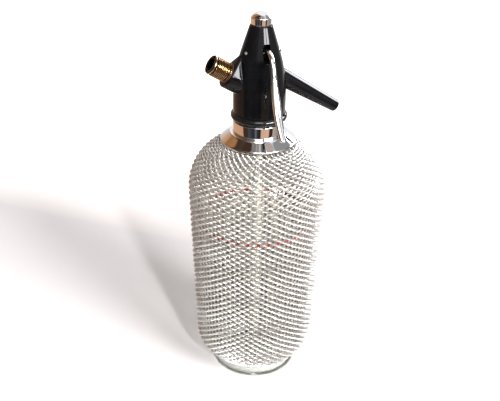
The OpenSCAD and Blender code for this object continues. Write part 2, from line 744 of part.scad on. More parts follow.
// stem with a cup for the washer, and a yoke that the lever's nose lifts
module valve_plunger() {
    window_w = lever_root_w + 2 * move_fit;
    color([0.78, 0.62, 0.32]) difference() {
        union() {
            translate([0, 0, cup_low_z]) cylinder(r = washer_r + set_fit + cup_wall, h = cup_h);
            translate([0, 0, cup_low_z + cup_h - 1]) cylinder(r = stem_r, h = yoke_low_z - cup_low_z);
            translate([0, 0, yoke_low_z]) cylinder(r = yoke_r, h = yoke_top_z - yoke_low_z);
            translate([0, 0, yoke_top_z - 1]) cylinder(r = spring_guide_r, h = spring_guide_h + 1);
        }
        translate([0, 0, cup_low_z - 1])
            cylinder(r = washer_r + set_fit, h = washer_low_z + washer_h + set_fit - cup_low_z + 1);
        // room for the nose, for the lever's hub, and for the pin in front
        translate([-window_w / 2, -beyond, pivot_z - lever_nose_r - move_fit])
            cube([window_w, beyond + lever_nose_r + 0.6, 2 * (lever_nose_r + move_fit)]);
        translate([-window_w / 2, -beyond, pivot_z - lever_hub_r - press_lift - move_fit])
            cube([window_w, beyond - 1.9, 2 * lever_hub_r + press_lift + 2 * move_fit]);
        translate([-beyond, -beyond, pivot_z - pin_room])
            cube([2 * beyond, beyond - (pivot_y - pin_r - move_fit - 0.1), 2 * pin_room]);
    }
}

module valve_washer() {
    color([0.12, 0.12, 0.12]) translate([0, 0, washer_low_z]) cylinder(r = washer_r, h = washer_h);
}

// closing spring between the yoke and the cap
module valve_spring() {
    around = 8;
    coil_r = spring_r - spring_d / 2;
    low = spring_low_z + spring_d / 2;
    rise = spring_top_z - spring_low_z - spring_d;
    path = [for (i = [0:spring_turns * around])
        let (a = 360 * i / around)
        [coil_r * cos(a), coil_r * sin(a), low + rise * i / (spring_turns * around)]];
    color([0.7, 0.7, 0.72]) wire(path, spring_d / 2, 6);
}

// ---- lever ----

// line down the middle of the lever, as [distance from the head's axis, height over the pivot]:
// out of the slot, over, down beside the head, and out again at the tip
lever_line = [[pivot_y, 0], [11, 2.7], [17, 3.9], [22.6, 2.5], [26.8, -1.4], [29.6, -7.4],
              [31.8, -14.4], [34.5, -21.4], [37.5, -28], [40.6, -34.6], [44.3, -41.2],
              [48.9, -47.5], [53.7, -52.9]];
lever_steps = 2;         // stations between two points of the line
lever_flare = [29.5, 38];    // distances from the head's axis between which the lever widens

// width of the lever at a distance from the head's axis
function lever_width(x) =
    x < lever_flare[1] ?
        lever_root_w + (lever_full_w - lever_root_w)
            * max(0, (x - lever_flare[0]) / (lever_flare[1] - lever_flare[0])) :
        lever_full_w + (lever_tip_w - lever_full_w)
            * (x - lever_flare[1]) / (lever_line[len(lever_line) - 1][0] - lever_flare[1]);

// point of a smooth curve through the line, at segment i and share u
function smooth(p, i, u) =
    let (a = p[max(i - 1, 0)], b = p[i], c = p[i + 1], d = p[min(i + 2, len(p) - 1)])
    0.5 * (2 * b + (c - a) * u + (2 * a - 5 * b + 4 * c - d) * u * u
           + (3 * b - a - 3 * c + d) * u * u * u);

// D-shaped section: a crowned front and a nearly flat back
function lever_section(w, t) = concat(
    [for (a = [0:30:180]) [w / 2 * cos(a), t * (0.6 * sin(a) - 0.1)]],
    [[-w * 0.42, -t * 0.35], [-w * 0.2, -t * 0.42], [w * 0.2, -t * 0.42], [w * 0.42, -t * 0.35]]);

module lever_blade() {
    line = concat([for (i = [0:len(lever_line) - 2]) for (j = [0:lever_steps - 1])
                       smooth(lever_line, i, j / lever_steps)],
                  [lever_line[len(lever_line) - 1]]);
    last = len(line) - 1;
    end_dir = unit(line[last] - line[last - 1]);
    // the rounded tip, as extra stations past the end of the line
    tip = [for (q = [0.4, 0.7, 0.9, 0.98]) line[last] + end_dir * q * lever_tip_w * 0.5];
    tip_w = [for (q = [0.4, 0.7, 0.9, 0.98]) sqrt(1 - q * q)];
    path = concat(line, tip);
    n = len(path);
    m = len(lever_section(1, 1));
    points = [for (i = [0:n - 1])
        let (dir = unit(path[min(i + 1, n - 1)] - path[max(i - 1, 0)]),
             out = [-dir[1], dir[0]],
             w = lever_width(path[min(i, last)][0]) * (i > last ? tip_w[i - last - 1] : 1),
             t = lever_t * (i > last ? 0.5 + 0.5 * tip_w[i - last - 1] : 1))
        for (q = lever_section(w, t))
            [q[0], -(path[i][0] + out[0] * q[1]), pivot_z + path[i][1] + out[1] * q[1]]];
    faces = concat(
        [[for (k = [0:m - 1]) k]],
        [for (i = [0:n - 2]) for (k = [0:m - 1])
            let (a = i * m + k, b = i * m + (k + 1) % m) [a, a + m, b + m]],
        [for (i = [0:n - 2]) for (k = [0:m - 1])
            let (a = i * m + k, b = i * m + (k + 1) % m) [a, b + m, b]],
        [[for (k = [0:m - 1]) n * m - 1 - k]]);
    polyhedron(points, faces, convexity = 6);
}

module lever() {
    color([0.86, 0.86, 0.87]) difference() {
        union() {
            on_pivot() cylinder(r = lever_hub_r, h = lever_root_w, center = true, $fn = 48);
            translate([0, 0, pivot_z]) rotate([0, 90, 0])
                cylinder(r = lever_nose_r, h = lever_root_w, center = true, $fn = 48);
            translate([-lever_root_w / 2, -pivot_y, pivot_z - lever_neck_t / 2])
                cube([lever_root_w, pivot_y, lever_neck_t]);
            lever_blade();
        }
        on_pivot() cylinder(r = pin_r + pin_fit, h = 2 * lever_root_w, center = true, $fn = 48);
    }
}

module lever_pin() {
    proud = 0.8;    // the pin ends proud of the head's side
    reach = sqrt(pow(cone_from[0] - (pivot_z - cone_from[1]) * tan(head_cone), 2)
                 - pivot_y * pivot_y) + proud;
    color([0.72, 0.72, 0.74]) on_pivot() cylinder(r = pin_r, h = 2 * reach, center = true, $fn = 48);
}

// ---- cap ----

module cap_gasket() {
    color([0.12, 0.12, 0.12]) translate([0, 0, head_top_z + set_fit])
        ring(cap_thread_r + 0.15, cap_r - 0.5, cap_gasket_h);
}

module top_cap() {
    dome_r = (pow(cap_r - 0.6, 2) + cap_dome * cap_dome) / (2 * cap_dome);
    dome_angle = asin((cap_r - 0.6) / dome_r);
    side_top = cap_low_z + cap_side;
    color([0.86, 0.86, 0.87]) rotate_extrude() polygon(concat(
        [[0, spring_top_z + set_fit], [spring_pocket_r, spring_top_z + set_fit],
         [spring_pocket_r, cap_low_z - cap_thread_l], [cap_thread_r, cap_low_z - cap_thread_l],
         [cap_thread_r, cap_low_z], [cap_r - 0.3, cap_low_z], [cap_r, cap_low_z + 0.3],
         [cap_r, side_top - 0.5]],
        arc([0, side_top + cap_dome - dome_r], dome_r, 90 - dome_angle, 90, 8)));
}

glass_bottle();
fill_line();
wire_mesh();
mesh_top_ring();
mesh_bottom_ring();
neck_skirt();
neck_split_ring();
neck_collar();
bottle_gasket();
dip_tube();
dip_tube_flange();
head_base_ring();
head_shell();
valve_body();
dip_tube_seal();
spout_tube();
spout_seal();
gas_nipple();
nipple_washer();
piercing_pin();
inlet_gasket();
check_valve_sleeve();
gland_nut();
stem_seal();
valve_plunger();
valve_washer();
valve_spring();
lever();
lever_pin();
cap_gasket();
top_cap();
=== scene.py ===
import math

import bpy
from mathutils import Matrix, Vector


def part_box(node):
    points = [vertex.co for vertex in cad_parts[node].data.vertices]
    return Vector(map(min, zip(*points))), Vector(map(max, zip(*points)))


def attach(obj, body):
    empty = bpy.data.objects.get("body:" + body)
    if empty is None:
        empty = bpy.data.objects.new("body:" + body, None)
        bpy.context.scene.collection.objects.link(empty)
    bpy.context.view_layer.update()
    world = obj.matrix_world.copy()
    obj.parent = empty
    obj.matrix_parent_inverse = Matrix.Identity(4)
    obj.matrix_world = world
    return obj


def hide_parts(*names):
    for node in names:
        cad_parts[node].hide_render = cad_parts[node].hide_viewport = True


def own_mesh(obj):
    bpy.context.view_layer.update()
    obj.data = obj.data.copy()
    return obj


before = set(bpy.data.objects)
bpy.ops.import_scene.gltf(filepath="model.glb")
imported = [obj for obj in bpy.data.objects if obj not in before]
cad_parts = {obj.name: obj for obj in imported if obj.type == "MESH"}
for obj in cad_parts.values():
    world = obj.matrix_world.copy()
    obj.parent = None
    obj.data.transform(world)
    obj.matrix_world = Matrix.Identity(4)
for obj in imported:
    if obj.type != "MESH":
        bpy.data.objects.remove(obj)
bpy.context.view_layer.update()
mm = 0.001


# hands: what every piece below is made with

def selectNone():
    if bpy.context.object and bpy.context.object.mode != "OBJECT":
        bpy.ops.object.mode_set(mode="OBJECT")
    bpy.ops.object.select_all(action="DESELECT")


def selectOnly(*objs):
    selectNone()
    for obj in objs:
        obj.select_set(True)
    bpy.context.view_layer.objects.active = objs[0]


def editAll(obj):
    selectOnly(obj)
    bpy.ops.object.mode_set(mode="EDIT")
    bpy.ops.mesh.select_mode(type="VERT")
    bpy.ops.mesh.select_all(action="SELECT")


def tidied(obj, sharp=30):
    # seams and poles merged, faces outwards, smooth except at the sharp edges
    editAll(obj)
    bpy.ops.mesh.remove_doubles(threshold=1e-6)
    bpy.ops.mesh.normals_make_consistent(inside=False)
    bpy.ops.object.mode_set(mode="OBJECT")
    bpy.ops.object.shade_smooth_by_angle(angle=math.radians(sharp))
    return obj


def traced(name, points):
    # one vertex, drawn out from point to point; left in edit mode
    selectNone()
    bpy.ops.mesh.primitive_plane_add(size=mm, calc_uvs=False, location=(0, 0, 0))
    obj = bpy.context.object
    obj.name = obj.data.name = name
    bpy.ops.object.mode_set(mode="EDIT")
    bpy.ops.mesh.select_all(action="SELECT")
    bpy.ops.mesh.merge(type="CENTER")
    bpy.ops.transform.translate(value=points[0])
    for here, there in zip(points, points[1:]):
        bpy.ops.mesh.extrude_vertices_move(TRANSFORM_OT_translate={"value": there - here})
    bpy.ops.mesh.select_all(action="SELECT")
    return obj


def softened(outline, closed):
    # a corner with a third number is rounded by about that radius
    out = []
    for i, corner in enumerate(outline):
        here = Vector(corner[:2])
        if len(corner) < 3 or (not closed and i in (0, len(outline) - 1)):
            out.append(here)
            continue
        before, after = Vector(outline[i - 1][:2]) - here, Vector(outline[(i + 1) % len(outline)][:2]) - here
        reach = min(corner[2], before.length * 0.49, after.length * 0.49)
        a, b = here + before.normalized() * reach, here + after.normalized() * reach
        out += [(1 - t) ** 2 * a + 2 * t * (1 - t) * here + t * t * b for t in (0, 0.25, 0.5, 0.75, 1)]
    return out


def arc(centre, radius, start, stop, steps):
    turns = [math.radians(start + (stop - start) * i / steps) for i in range(steps + 1)]
    return [(centre[0] + radius * math.cos(a), centre[1] + radius * math.sin(a)) for a in turns]


def spun(name, outline, steps=96, sharp=30):
    # an outline of (distance from the axis, height) in millimetres, spun round the axis
    closed = outline[0][0] > 0 or outline[-1][0] > 0
    corners = softened(outline, closed)
    points = [Vector((x * mm, 0, z * mm)) for x, z in corners]
    obj = traced(name, points + points[:1] if closed else points)
    if closed:
        bpy.ops.mesh.remove_doubles(threshold=1e-7)
        bpy.ops.mesh.select_all(action="SELECT")
    bpy.ops.mesh.spin(steps=steps, angle=math.tau, center=(0, 0, 0), axis=(0, 0, 1))
    return tidied(obj, sharp)


def leant(obj, lean, height):
    # a piece made round Z, laid on an axis that leans towards +X and starts at a height
    obj.rotation_euler = (0, math.radians(lean), 0)
    obj.location = (0, 0, height * mm)
    selectOnly(obj)
    bpy.ops.object.transform_apply(location=True, rotation=True, scale=True)
    return obj


def joined(name, *objs):
    selectOnly(*objs)
    bpy.ops.object.join()
    obj = bpy.context.object
    obj.name = obj.data.name = name
    return obj


def worked(obj, tool, operation="DIFFERENCE"):
    # a cut, or two solids made one
    selectOnly(obj)
    step = obj.modifiers.new("cut", "BOOLEAN")
    step.object, step.operation, step.solver = tool, operation, "EXACT"
    bpy.ops.object.modifier_apply(modifier=step.name)
    selectOnly(tool)
    bpy.ops.object.delete()
    return obj


def rod(radius, low, high, sides=64):
    selectNone()
    bpy.ops.mesh.primitive_cylinder_add(vertices=sides, radius=radius * mm, depth=(high - low) * mm,
                                        location=(0, 0, (low + high) / 2 * mm))
    bpy.ops.object.transform_apply(location=True, rotation=True, scale=True)
    return bpy.context.object


def block(low, high):
    selectNone()
    bpy.ops.mesh.primitive_cube_add(size=1, location=[(a + b) / 2 * mm for a, b in zip(low, high)])
    bpy.context.object.scale = [(b - a) * mm for a, b in zip(low, high)]
    bpy.ops.object.transform_apply(location=True, rotation=True, scale=True)
    return bpy.context.object


def thread(name, root, crest, low, high, pitch, flat=0.16):
    # one closed tooth, wound up by a screw
    half = pitch / 2
    tooth = [(root - 0.6, low - half), (root, low - half), (crest, low - pitch * flat / 2),
             (crest, low + pitch * flat / 2), (root, low + half), (root - 0.6, low + half)]
    points = [Vector((x * mm, 0, z * mm)) for x, z in tooth]
    obj = traced(name, points)
    bpy.ops.mesh.edge_face_add()
    bpy.ops.object.mode_set(mode="OBJECT")
    turns = round((high - low) / pitch)
    step = obj.modifiers.new("wind", "SCREW")
    step.axis, step.angle, step.screw_offset = "Z", math.tau, pitch * mm
    step.iterations, step.steps, step.render_steps = turns, 64, 64
    step.use_merge_vertices, step.merge_threshold = True, 1e-7
    selectOnly(obj)
    bpy.ops.object.modifier_apply(modifier=step.name)
    return obj


def finished(obj, body, slot, material, *nodes):
    obj.data.materials.clear()
    obj.data.materials.append(material)
    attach(obj, body)
    if nodes:
        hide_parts(*nodes)
    return obj


def span(node):
    low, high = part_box(node)
    return low.z / mm, high.z / mm


# finishes

def finish(name, **sockets):
    material = bpy.data.materials.new(name)
    material.use_nodes = True
    shader = material.node_tree.nodes["Principled BSDF"]
    names = {"colour": "Base Color", "metal": "Metallic", "rough": "Roughness", "ior": "IOR",
             "clear": "Transmission Weight", "coat": "Coat Weight", "coatRough": "Coat Roughness",
             "specular": "Specular IOR Level", "under": "Subsurface Weight"}
    for key, value in sockets.items():
        shader.inputs[names[key]].default_value = value
    return material


def noise(material, scale, detail=3, squeeze=(1, 1, 1), at=(0, 0, 0)):
    nodes, links = material.node_tree.nodes, material.node_tree.links
    where = nodes.new("ShaderNodeTexCoord")
    lay = nodes.new("ShaderNodeMapping")
    lay.inputs["Scale"].default_value = squeeze
    lay.inputs["Location"].default_value = at
    grain = nodes.new("ShaderNodeTexNoise")
    grain.inputs["Scale"].default_value = scale
    grain.inputs["Detail"].default_value = detail
    links.new(where.outputs["Object"], lay.inputs["Vector"])
    links.new(lay.outputs["Vector"], grain.inputs["Vector"])
    return grain.outputs["Fac"]


def ramp(material, fac, stops, target):
    # a pattern turned into a colour or a value by a few stops
    nodes, links = material.node_tree.nodes, material.node_tree.links
    band = nodes.new("ShaderNodeValToRGB")
    while len(band.color_ramp.elements) < len(stops):
        band.color_ramp.elements.new(0.5)
    for element, (place, tone) in zip(band.color_ramp.elements, stops):
        element.position = place
        element.color = (tone, tone, tone, 1) if isinstance(tone, (int, float)) else (*tone, 1)
    links.new(fac, band.inputs["Fac"])
    links.new(band.outputs["Color"], nodes["Principled BSDF"].inputs[target])
    return band.outputs["Color"]


def byHeight(material, low, high):
    # 0 at the low level, 1 at the high one
    nodes, links = material.node_tree.nodes, material.node_tree.links
    where, split, level = [nodes.new(kind) for kind in ("ShaderNodeTexCoord", "ShaderNodeSeparateXYZ",
                                                        "ShaderNodeMapRange")]
    level.inputs["From Min"].default_value, level.inputs["From Max"].default_value = low, high
    links.new(where.outputs["Object"], split.inputs[0])
    links.new(split.outputs["Z"], level.inputs["Value"])
    return level.outputs[0]


def fromAxis(material, lean, height, low, high):
    # 0 at the low distance from a leaning axis, 1 at the high one, in millimetres
    nodes, links = material.node_tree.nodes, material.node_tree.links
    where, lay, flat, length, level = [nodes.new(kind) for kind in (
        "ShaderNodeTexCoord", "ShaderNodeMapping", "ShaderNodeVectorMath", "ShaderNodeVectorMath",
        "ShaderNodeMapRange")]
    lay.vector_type = "TEXTURE"
    lay.inputs["Location"].default_value = (0, 0, height * mm)
    lay.inputs["Rotation"].default_value = (0, math.radians(lean), 0)
    flat.operation, length.operation = "MULTIPLY", "LENGTH"
    flat.inputs[1].default_value = (1, 1, 0)
    level.inputs["From Min"].default_value, level.inputs["From Max"].default_value = low * mm, high * mm
    links.new(where.outputs["Object"], lay.inputs["Vector"])
    links.new(lay.outputs["Vector"], flat.inputs[0])
    links.new(flat.outputs["Vector"], length.inputs[0])
    links.new(length.outputs["Value"], level.inputs["Value"])
    return level.outputs[0]


def bump(material, fac, strength, depth):
    nodes, links = material.node_tree.nodes, material.node_tree.links
    node = nodes.new("ShaderNodeBump")
    node.inputs["Strength"].default_value = strength
    node.inputs["Distance"].default_value = depth * mm
    links.new(fac, node.inputs["Height"])
    links.new(node.outputs["Normal"], nodes["Principled BSDF"].inputs["Normal"])


def chromeFinish(name, tone, dull, wave):
    chrome = finish(name, metal=1)
    ramp(chrome, noise(chrome, 90), [(0.3, tone), (0.7, [c * 1.05 for c in tone])], "Base Color")
    ramp(chrome, noise(chrome, 400, 4, (1, 1, 0.3)), [(0.35, dull * 0.7), (0.7, dull * 1.5)], "Roughness")
    bump(chrome, noise(chrome, 55, 1), wave, 0.6)
    return chrome


def brassFinish(name, bright, dark, dull):
    brass = finish(name, metal=1)
    ramp(brass, noise(brass, 260, 5), [(0.3, dark), (0.62, bright)], "Base Color")
    ramp(brass, noise(brass, 700, 3), [(0.3, dull * 0.7), (0.75, dull * 1.4)], "Roughness")
    bump(brass, noise(brass, 1800, 2), 0.12, 0.1)
    return brass


def plainFinish(name, low, high, dull, grain, depth, **more):
    plain = finish(name, **more)
    ramp(plain, noise(plain, grain * 0.3, 4), [(0.3, low), (0.7, high)], "Base Color")
    ramp(plain, noise(plain, grain, 3), [(0.3, dull * 0.8), (0.7, dull * 1.2)], "Roughness")
    bump(plain, noise(plain, grain * 2, 3), 0.25, depth)
    return plain


blackEnamel = finish("blackEnamel", ior=1.5, specular=0.2)
ramp(blackEnamel, noise(blackEnamel, 120, 4), [(0.3, (0.0035, 0.0035, 0.004)), (0.75, (0.007, 0.007, 0.008))],
     "Base Color")
ramp(blackEnamel, noise(blackEnamel, 500, 5), [(0.35, 0.045), (0.75, 0.11)], "Roughness")
bump(blackEnamel, noise(blackEnamel, 700, 2), 0.06, 0.05)

blackRing = finish("blackRing", ior=1.5)
ramp(blackRing, noise(blackRing, 200, 4), [(0.3, (0.006, 0.0075, 0.0065)), (0.75, (0.012, 0.014, 0.012))],
     "Base Color")
ramp(blackRing, noise(blackRing, 600, 4), [(0.3, 0.1), (0.75, 0.2)], "Roughness")
bump(blackRing, noise(blackRing, 900, 2), 0.1, 0.05)

clearGlass = finish("clearGlass", ior=1.5, clear=1, rough=0.0)
# clear at the thick foot, and darkened where the wire closes it in: painted shade for the shaded inside of
# the sleeve
ramp(clearGlass, byHeight(clearGlass, 0, 0.2),
     [(0.05, (0.78, 0.82, 0.79)), (0.12, (0.52, 0.52, 0.45)), (0.9, (0.7, 0.69, 0.64))], "Base Color")
bump(clearGlass, noise(clearGlass, 26, 2, (1, 1, 0.5)), 0.12, 1.5)

sleeveWire = finish("sleeveWire", metal=0.8)
ramp(sleeveWire, noise(sleeveWire, 45, 4), [(0.3, (0.76, 0.73, 0.7)), (0.7, (0.88, 0.86, 0.84))],
     "Base Color")
ramp(sleeveWire, noise(sleeveWire, 320, 4), [(0.3, 0.24), (0.7, 0.36)], "Roughness")
bump(sleeveWire, noise(sleeveWire, 1500, 2), 0.15, 0.08)

skirtChrome = chromeFinish("skirtChrome", (0.83, 0.83, 0.84), 0.06, 0.1)
chromePlate = chromeFinish("chromePlate", (0.86, 0.86, 0.87), 0.045, 0.06)
leverChrome = chromeFinish("leverChrome", (0.84, 0.83, 0.83), 0.05, 0.02)
steelFinish = chromeFinish("turnedSteel", (0.6, 0.6, 0.61), 0.22, 0.04)
nippleBrass = brassFinish("nippleBrass", (0.83, 0.6, 0.3), (0.42, 0.25, 0.1), 0.2)
# painted shade: the brass is painted dark in the thread's roots and in the mouth, and only the crests keep
# its bright colour
ramp(nippleBrass, fromAxis(nippleBrass, -58, 256.315, 4.5, 8),
     [(0, (0.03, 0.02, 0.01)), (0.72, (0.05, 0.03, 0.015)), (0.9, (0.16, 0.1, 0.045)),
      (0.97, (0.7, 0.52, 0.3))],
     "Base Color")
innerBrass = brassFinish("innerBrass", (0.8, 0.6, 0.3), (0.6, 0.42, 0.18), 0.26)
redPrint = plainFinish("redPrint", (0.4, 0.05, 0.035), (0.55, 0.1, 0.07), 0.4, 900, 0.02)
blackRubber = plainFinish("blackRubber", (0.018, 0.018, 0.018), (0.035, 0.035, 0.034), 0.6, 900, 0.05)
redRubber = plainFinish("redRubber", (0.3, 0.07, 0.045), (0.42, 0.12, 0.07), 0.55, 900, 0.05)
creamPlastic = plainFinish("creamPlastic", (0.86, 0.81, 0.7), (0.92, 0.88, 0.79), 0.4, 300, 0.04, under=0.1)
blackMoulding = plainFinish("blackMoulding", (0.008, 0.008, 0.009), (0.02, 0.02, 0.021), 0.5, 600, 0.04)
palePlastic = plainFinish("palePlastic", (0.78, 0.74, 0.62), (0.86, 0.82, 0.7), 0.45, 300, 0.04)
brownFibre = plainFinish("brownFibre", (0.03, 0.012, 0.008), (0.1, 0.04, 0.02), 0.7, 1200, 0.12)
print("finishes mixed")


# bottle

bottle = dict(wall=4, footRadius=36.4, footHeight=8, waist=34.6, punt=29.5, puntDepth=10,
              heelAt=(26.426, 33), heel=17, shoulderAt=(12.3, 172), shoulder=38, lean=2.842,
              neck=14.2, neckCurve=8, bore=11, lip=15.8, lipHeight=4.5, floor=20)
mouth = span("glass_bottle")[1]
neckAt = (bottle["neck"] + bottle["neckCurve"],
          bottle["shoulderAt"][1] + math.sqrt((bottle["shoulder"] + bottle["neckCurve"]) ** 2
          - (bottle["neck"] + bottle["neckCurve"] - bottle["shoulderAt"][0]) ** 2))
neckTurn = math.degrees(math.atan2(neckAt[1] - bottle["shoulderAt"][1], neckAt[0] - bottle["shoulderAt"][0]))
puntBall = (bottle["punt"] ** 2 + bottle["puntDepth"] ** 2) / (2 * bottle["puntDepth"])
puntTurn = math.degrees(math.asin(bottle["punt"] / puntBall))
lipLow = mouth - bottle["lipHeight"]
outside = (arc((0, bottle["puntDepth"] - puntBall), puntBall, 90, 90 - puntTurn, 14)
           + arc((bottle["footRadius"] - 3, 3), 3, -90, 0, 8)
           + [(bottle["footRadius"], bottle["footHeight"] - 1, 1.2),
              (bottle["waist"], bottle["footHeight"] + 2, 2),
              (bottle["waist"], bottle["footHeight"] + 4.5)]
           + arc(bottle["heelAt"], bottle["heel"], -62, -bottle["lean"], 18)
           + arc(bottle["shoulderAt"], bottle["shoulder"], -bottle["lean"], neckTurn, 30)
           + arc(neckAt, bottle["neckCurve"], neckTurn + 176, 184, 8)
           + [(bottle["neck"], neckAt[1]), (bottle["neck"], lipLow - 0.4, 0.4), (bottle["lip"], lipLow, 0.6),
              (bottle["lip"], mouth, 1.2)])
inside = ([(bottle["bore"], mouth, 1), (bottle["bore"], neckAt[1], 4)]
          + arc(bottle["shoulderAt"], bottle["shoulder"] - bottle["wall"], 78, -bottle["lean"], 26)
          + arc(bottle["heelAt"], bottle["heel"] - bottle["wall"], -bottle["lean"], -90, 16)
          + [(0, bottle["floor"])])
glass = spun("glassBottle", outside + inside, 160, 40)
glass.visible_shadow = False
finished(glass, "bottle", "glass", clearGlass, "glass_bottle")
# the printed line, drawn wider than the 1.4 mm of its solid, so that it shows between the wires
fillLine = dict(height=142.5, wide=2.8, off=0.03, thick=0.16)
middle, halfWide = fillLine["height"], fillLine["wide"] / 2
onGlass = bottle["shoulderAt"][0] + bottle["shoulder"] / math.cos(math.radians(bottle["lean"]))
slope = math.tan(math.radians(bottle["lean"]))
printIn, printOut = fillLine["off"], fillLine["off"] + fillLine["thick"]
band = [(onGlass - (bottle["shoulderAt"][1] - z) * slope + off, z)
        for z, off in ((middle - halfWide, printIn), (middle - halfWide, printOut),
                       (middle + halfWide, printOut), (middle + halfWide, printIn))]
finished(spun("fillLine", band, 160), "bottle", "red_print", redPrint, "fill_line")
print("bottle blown")


# wire sleeve

sleeve = dict(depth=6.95, gap=0.3, wire=1.2, hook=0.3, spirals=80, turns=41, perTurn=12,
              low=-62, high=66, ring=1.2)
midOff = (sleeve["gap"] + sleeve["depth"]) / 2
swing = (sleeve["depth"] - sleeve["gap"] - sleeve["wire"]) / 2
heelRun = (bottle["heel"] + midOff) * math.radians(-bottle["lean"] - sleeve["low"])
sideFrom, sideTo = [Vector(arc(at, size + midOff, -bottle["lean"], 0, 1)[0])
                    for at,
                    size in ((bottle["heelAt"], bottle["heel"]), (bottle["shoulderAt"], bottle["shoulder"]))]
sideRun = (sideTo - sideFrom).length
topRun = (bottle["shoulder"] + midOff) * math.radians(sleeve["high"] + bottle["lean"])
sleeveRun = heelRun + sideRun + topRun


def sleeveAt(s):
    # middle of the sleeve at a length up its side: radius, height and slope
    if s < heelRun:
        slope = math.radians(sleeve["low"]) + s / (bottle["heel"] + midOff)
        centre, size = bottle["heelAt"], bottle["heel"] + midOff
    elif s < heelRun + sideRun:
        place = sideFrom.lerp(sideTo, (s - heelRun) / sideRun)
        return place.x, place.y, math.radians(-bottle["lean"])
    else:
        slope = math.radians(-bottle["lean"]) + (s - heelRun - sideRun) / (bottle["shoulder"] + midOff)
        centre, size = bottle["shoulderAt"], bottle["shoulder"] + midOff
    return centre[0] + size * math.cos(slope), centre[1] + size * math.sin(slope), slope


def wound(name, points, radius, bevel):
    # a wire of a round section, drawn as a path through the points
    selectNone()
    bpy.ops.curve.primitive_nurbs_path_add(location=(0, 0, 0))
    obj = bpy.context.object
    obj.name = name
    line = obj.data.splines[0]
    line.type = "POLY"
    line.points.add(len(points) - len(line.points))
    for point, place in zip(line.points, points):
        point.co = (place[0] * mm, place[1] * mm, place[2] * mm, 1)
    obj.data.bevel_depth, obj.data.bevel_resolution = radius * mm, bevel
    obj.data.use_fill_caps = True
    selectOnly(obj)
    bpy.ops.object.convert(target="MESH")
    obj = bpy.context.object
    obj.name = obj.data.name = name
    return tidied(obj, 60)


def spiral(name, shift):
    points = []
    for i in range(sleeve["turns"] * sleeve["perTurn"] + 1):
        s = sleeveRun * i / (sleeve["turns"] * sleeve["perTurn"])
        turn = math.tau * i / sleeve["perTurn"] + shift
        radius, height, slope = sleeveAt(s)
        reach = math.pi / sleeve["spirals"] + (sleeve["wire"] + sleeve["hook"]) / 2 / radius
        out = radius + swing * math.cos(turn) * math.cos(slope)
        aside = -reach * math.sin(turn)
        points.append((out * math.cos(aside), out * math.sin(aside),
                       height + swing * math.cos(turn) * math.sin(slope)))
    return wound(name, points, sleeve["wire"] / 2, 1)


pair = [spiral("spiralEven", 0), spiral("spiralOdd", math.pi)]
panels = 5
perPanel = sleeve["spirals"] // panels
for panel in range(panels):
    copies = []
    for k in range(panel * perPanel, (panel + 1) * perPanel):
        selectOnly(pair[k % 2])
        bpy.ops.object.duplicate()
        copy = bpy.context.object
        copy.rotation_euler = (0, 0, math.tau * k / sleeve["spirals"])
        bpy.ops.object.transform_apply(location=True, rotation=True, scale=True)
        copies.append(copy)
    part = joined("wireSleeve%d" % (panel + 1), *copies)
    finished(part, "bottle", "sleeve_wire", sleeveWire, "wire_mesh")
selectOnly(*pair)
bpy.ops.object.delete()

halfTurn = sleeveRun / sleeve["turns"] / 2
for name, s, node in (("sleeveRingLow", halfTurn, "mesh_bottom_ring"),
                      ("sleeveRingHigh", sleeveRun - halfTurn, "mesh_top_ring")):
    radius, height, slope = sleeveAt(s)
    hoop = spun(name, arc((radius, height), sleeve["ring"] / 2, 0, 330, 11), 120, 60)
    finished(hoop, "bottle", "ring_wire", sleeveWire, node)
print("sleeve woven")


# fittings on the neck

skirt = dict(foot=30.76, top=24, wall=1.2, inner=16.2)
skirtLow, skirtTop = span("neck_skirt")
skirtPiece = spun("neckSkirt", [
    (skirt["inner"], skirtTop - skirt["wall"]), (skirt["top"] - 1, skirtTop - skirt["wall"], 0.6),
    (skirt["foot"] - 1.9, skirtLow + 1.5, 0.6), (skirt["foot"] - 1.6, skirtLow, 0.5),
    (skirt["foot"], skirtLow, 0.6),
    (skirt["foot"], skirtLow + 1.4, 0.5), (27.5, skirtLow + 4.1, 3), (skirt["top"], skirtTop - 0.9, 0.5),
    (skirt["top"] - 0.6, skirtTop, 0.5), (skirt["inner"], skirtTop)], 128, 40)
finished(skirtPiece, "bottle", "skirt_chrome", skirtChrome, "neck_skirt")

collar = dict(radius=21.1, bore=16.2, step=17, root=17.4, crest=18.6, edge=0.7, pitch=3)
collarLow, spigotTop = span("neck_collar")
collarTop = span("head_base_ring")[0] - 0.3
splitLow = span("neck_split_ring")[0] - 0.1
collarPiece = spun("neckCollar", [
    (collar["bore"], collarLow), (collar["radius"], collarLow, collar["edge"]),
    (collar["radius"], collarTop, collar["edge"]), (collar["root"], collarTop),
    (collar["root"], spigotTop, 0.5),
    (collar["step"], spigotTop), (collar["step"], splitLow), (collar["bore"], splitLow)], 128, 40)
worm = thread("collarThread", collar["root"], collar["crest"], collarTop + 2.2, spigotTop - 1.8,
              collar["pitch"], 0.3)
collarPiece = joined("neckCollar", collarPiece, tidied(worm, 30))
finished(collarPiece, "bottle", "chrome", chromePlate, "neck_collar")

baseRing = dict(radius=22.8, bore=18.8)
ringLow, ringTop = span("head_base_ring")
half = (ringTop - ringLow) / 2
ringPiece = spun("headBaseRing", [(baseRing["bore"], ringTop), (baseRing["bore"], ringLow)]
                 + arc((baseRing["radius"] - half, ringLow + half), half, -90, 90, 20), 128, 40)
finished(ringPiece, "ring", "black_ring", blackRing, "head_base_ring")
print("neck fittings turned")


# head

